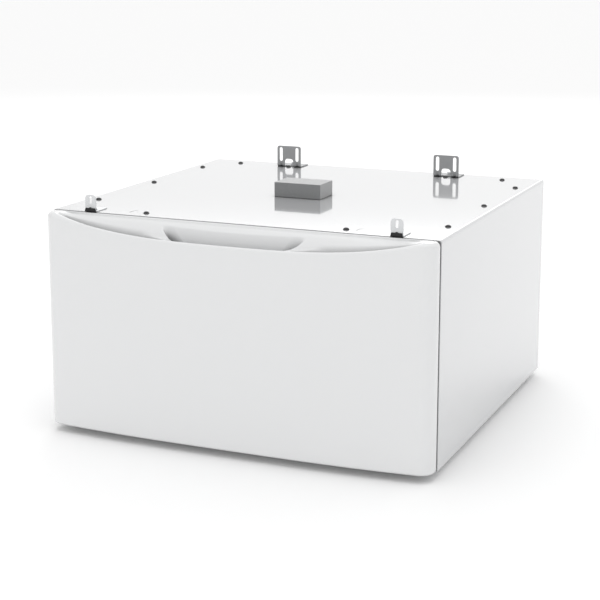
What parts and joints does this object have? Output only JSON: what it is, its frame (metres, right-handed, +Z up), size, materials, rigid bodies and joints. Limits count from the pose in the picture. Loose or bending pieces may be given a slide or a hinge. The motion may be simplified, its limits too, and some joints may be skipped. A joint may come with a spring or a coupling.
{
  "type": "laundry pedestal with storage drawer",
  "caption": "Low white steel base for a front loading washer or dryer, with a full-width drawer behind a bowed front with a scooped handle, tie-down brackets and levelling feet.",
  "frame": {"origin": "on the floor, under the centre of the overall box", "axes": "+X to the right-hand side, +Y to the rear (the drawer opens towards -Y), +Z up"},
  "size_m": [0.686, 0.675, 0.4225],
  "materials": {
    "cabinet_paint": "gloss white enamel over steel",
    "front_paint": "gloss white moulded front",
    "zinc_steel": "bright zinc plate",
    "bracket_steel": "grey zinc plate, satin",
    "galvanised": "galvanised sheet, matt",
    "black_screw": "black coated steel, semi-gloss",
    "drawer_paint": "satin white powder coat",
    "black_rubber": "matt black rubber",
    "foam": "grey closed-cell foam, matt",
    "slide_zinc": "bright zinc slide",
    "lever_plastic": "black nylon"
  },
  "bodies": {
    "cabinet": {"cabinet_wrapper": "cabinet_paint", "rear_panel": "galvanised", "top_front_rail": "galvanised", "top_rear_rail": "galvanised", "top_side_rail_left": "galvanised", "top_side_rail_right": "galvanised", "base_side_channel_left": "galvanised", "base_side_channel_right": "galvanised", "base_front_crossmember": "galvanised", "base_rear_crossmember": "galvanised", "slide_post_front_left": "galvanised", "slide_post_front_right": "galvanised", "slide_post_rear_left": "galvanised", "slide_post_rear_right": "galvanised", "foot_lock_nuts": "zinc_steel", "foot_weld_nuts": "zinc_steel", "top_screws": "black_screw", "rear_bracket_left": "bracket_steel", "rear_bracket_right": "bracket_steel", "front_bracket_left": "zinc_steel", "front_bracket_right": "zinc_steel", "rear_bracket_bolts": "bracket_steel", "front_bracket_screws": "zinc_steel", "front_bracket_pads": "black_rubber", "foam_block": "foam", "rear_panel_screws": "zinc_steel", "slide_outer_left": "slide_zinc", "slide_outer_right": "slide_zinc", "slide_post_screws": "slide_zinc"},
    "drawer": {"drawer_front_panel": "front_paint", "front_backing_plate": "galvanised", "drawer_front_wall": "drawer_paint", "drawer_front_screws": "zinc_steel", "drawer_bumpers": "black_rubber", "drawer_side_left": "drawer_paint", "drawer_side_right": "drawer_paint", "drawer_bottom": "drawer_paint", "drawer_back": "drawer_paint", "slide_inner_left": "slide_zinc", "slide_inner_right": "slide_zinc", "slide_drawer_screws": "slide_zinc", "release_lever_pins": "zinc_steel"},
    "slide_middle_left": {"slide_middle_left": "slide_zinc"},
    "outer_cage_left": {"slide_outer_cage_left": "slide_zinc"},
    "inner_cage_left": {"slide_inner_cage_left": "slide_zinc"},
    "release_lever_left": {"release_lever_left": "lever_plastic"},
    "slide_middle_right": {"slide_middle_right": "slide_zinc"},
    "outer_cage_right": {"slide_outer_cage_right": "slide_zinc"},
    "inner_cage_right": {"slide_inner_cage_right": "slide_zinc"},
    "release_lever_right": {"release_lever_right": "lever_plastic"},
    "foot_front_left": {"foot_pad_front_left": "black_rubber", "foot_stud_front_left": "zinc_steel"},
    "foot_front_right": {"foot_pad_front_right": "black_rubber", "foot_stud_front_right": "zinc_steel"},
    "foot_rear_left": {"foot_pad_rear_left": "black_rubber", "foot_stud_rear_left": "zinc_steel"},
    "foot_rear_right": {"foot_pad_rear_right": "black_rubber", "foot_stud_rear_right": "zinc_steel"}
  },
  "joints": [
    {"name": "drawer_slide", "type": "slide", "parent": "cabinet", "child": "drawer", "axis": [0, -1, 0], "range_m": [0, 0.45]},
    {"name": "slide_middle_left_run", "type": "slide", "parent": "cabinet", "child": "slide_middle_left", "axis": [0, -1, 0], "range_m": [0, 0.225]},
    {"name": "outer_cage_left_slide", "type": "slide", "parent": "cabinet", "child": "outer_cage_left", "axis": [0, -1, 0], "range_m": [0, 0.1125]},
    {"name": "inner_cage_left_slide", "type": "slide", "parent": "cabinet", "child": "inner_cage_left", "axis": [0, -1, 0], "range_m": [0, 0.3375]},
    {"name": "slide_middle_right_run", "type": "slide", "parent": "cabinet", "child": "slide_middle_right", "axis": [0, -1, 0], "range_m": [0, 0.225]},
    {"name": "outer_cage_right_slide", "type": "slide", "parent": "cabinet", "child": "outer_cage_right", "axis": [0, -1, 0], "range_m": [0, 0.1125]},
    {"name": "inner_cage_right_slide", "type": "slide", "parent": "cabinet", "child": "inner_cage_right", "axis": [0, -1, 0], "range_m": [0, 0.3375]},
    {"name": "release_lever_left_pivot", "type": "hinge", "parent": "drawer", "child": "release_lever_left", "pos_m": [-0.3149, -0.1525, 0.165], "axis": [1, 0, 0], "range_deg": [0, 12], "stiffness_Nm_per_rad": 0.03, "springref_deg": -5.73},
    {"name": "release_lever_right_pivot", "type": "hinge", "parent": "drawer", "child": "release_lever_right", "pos_m": [0.3149, -0.1525, 0.165], "axis": [1, 0, 0], "range_deg": [0, 12], "stiffness_Nm_per_rad": 0.03, "springref_deg": -5.73},
    {"name": "foot_front_left_screw", "type": "slide", "parent": "cabinet", "child": "foot_front_left", "axis": [0, 0, -1], "range_m": [0, 0.025]},
    {"name": "foot_front_right_screw", "type": "slide", "parent": "cabinet", "child": "foot_front_right", "axis": [0, 0, -1], "range_m": [0, 0.025]},
    {"name": "foot_rear_left_screw", "type": "slide", "parent": "cabinet", "child": "foot_rear_left", "axis": [0, 0, -1], "range_m": [0, 0.025]},
    {"name": "foot_rear_right_screw", "type": "slide", "parent": "cabinet", "child": "foot_rear_right", "axis": [0, 0, -1], "range_m": [0, 0.025]}
  ],
  "couplings": [
    {"joint": "slide_middle_left_run", "follows": "drawer_slide", "ratio": 0.5},
    {"joint": "outer_cage_left_slide", "follows": "drawer_slide", "ratio": 0.25},
    {"joint": "inner_cage_left_slide", "follows": "drawer_slide", "ratio": 0.75},
    {"joint": "slide_middle_right_run", "follows": "drawer_slide", "ratio": 0.5},
    {"joint": "outer_cage_right_slide", "follows": "drawer_slide", "ratio": 0.25},
    {"joint": "inner_cage_right_slide", "follows": "drawer_slide", "ratio": 0.75}
  ]
}
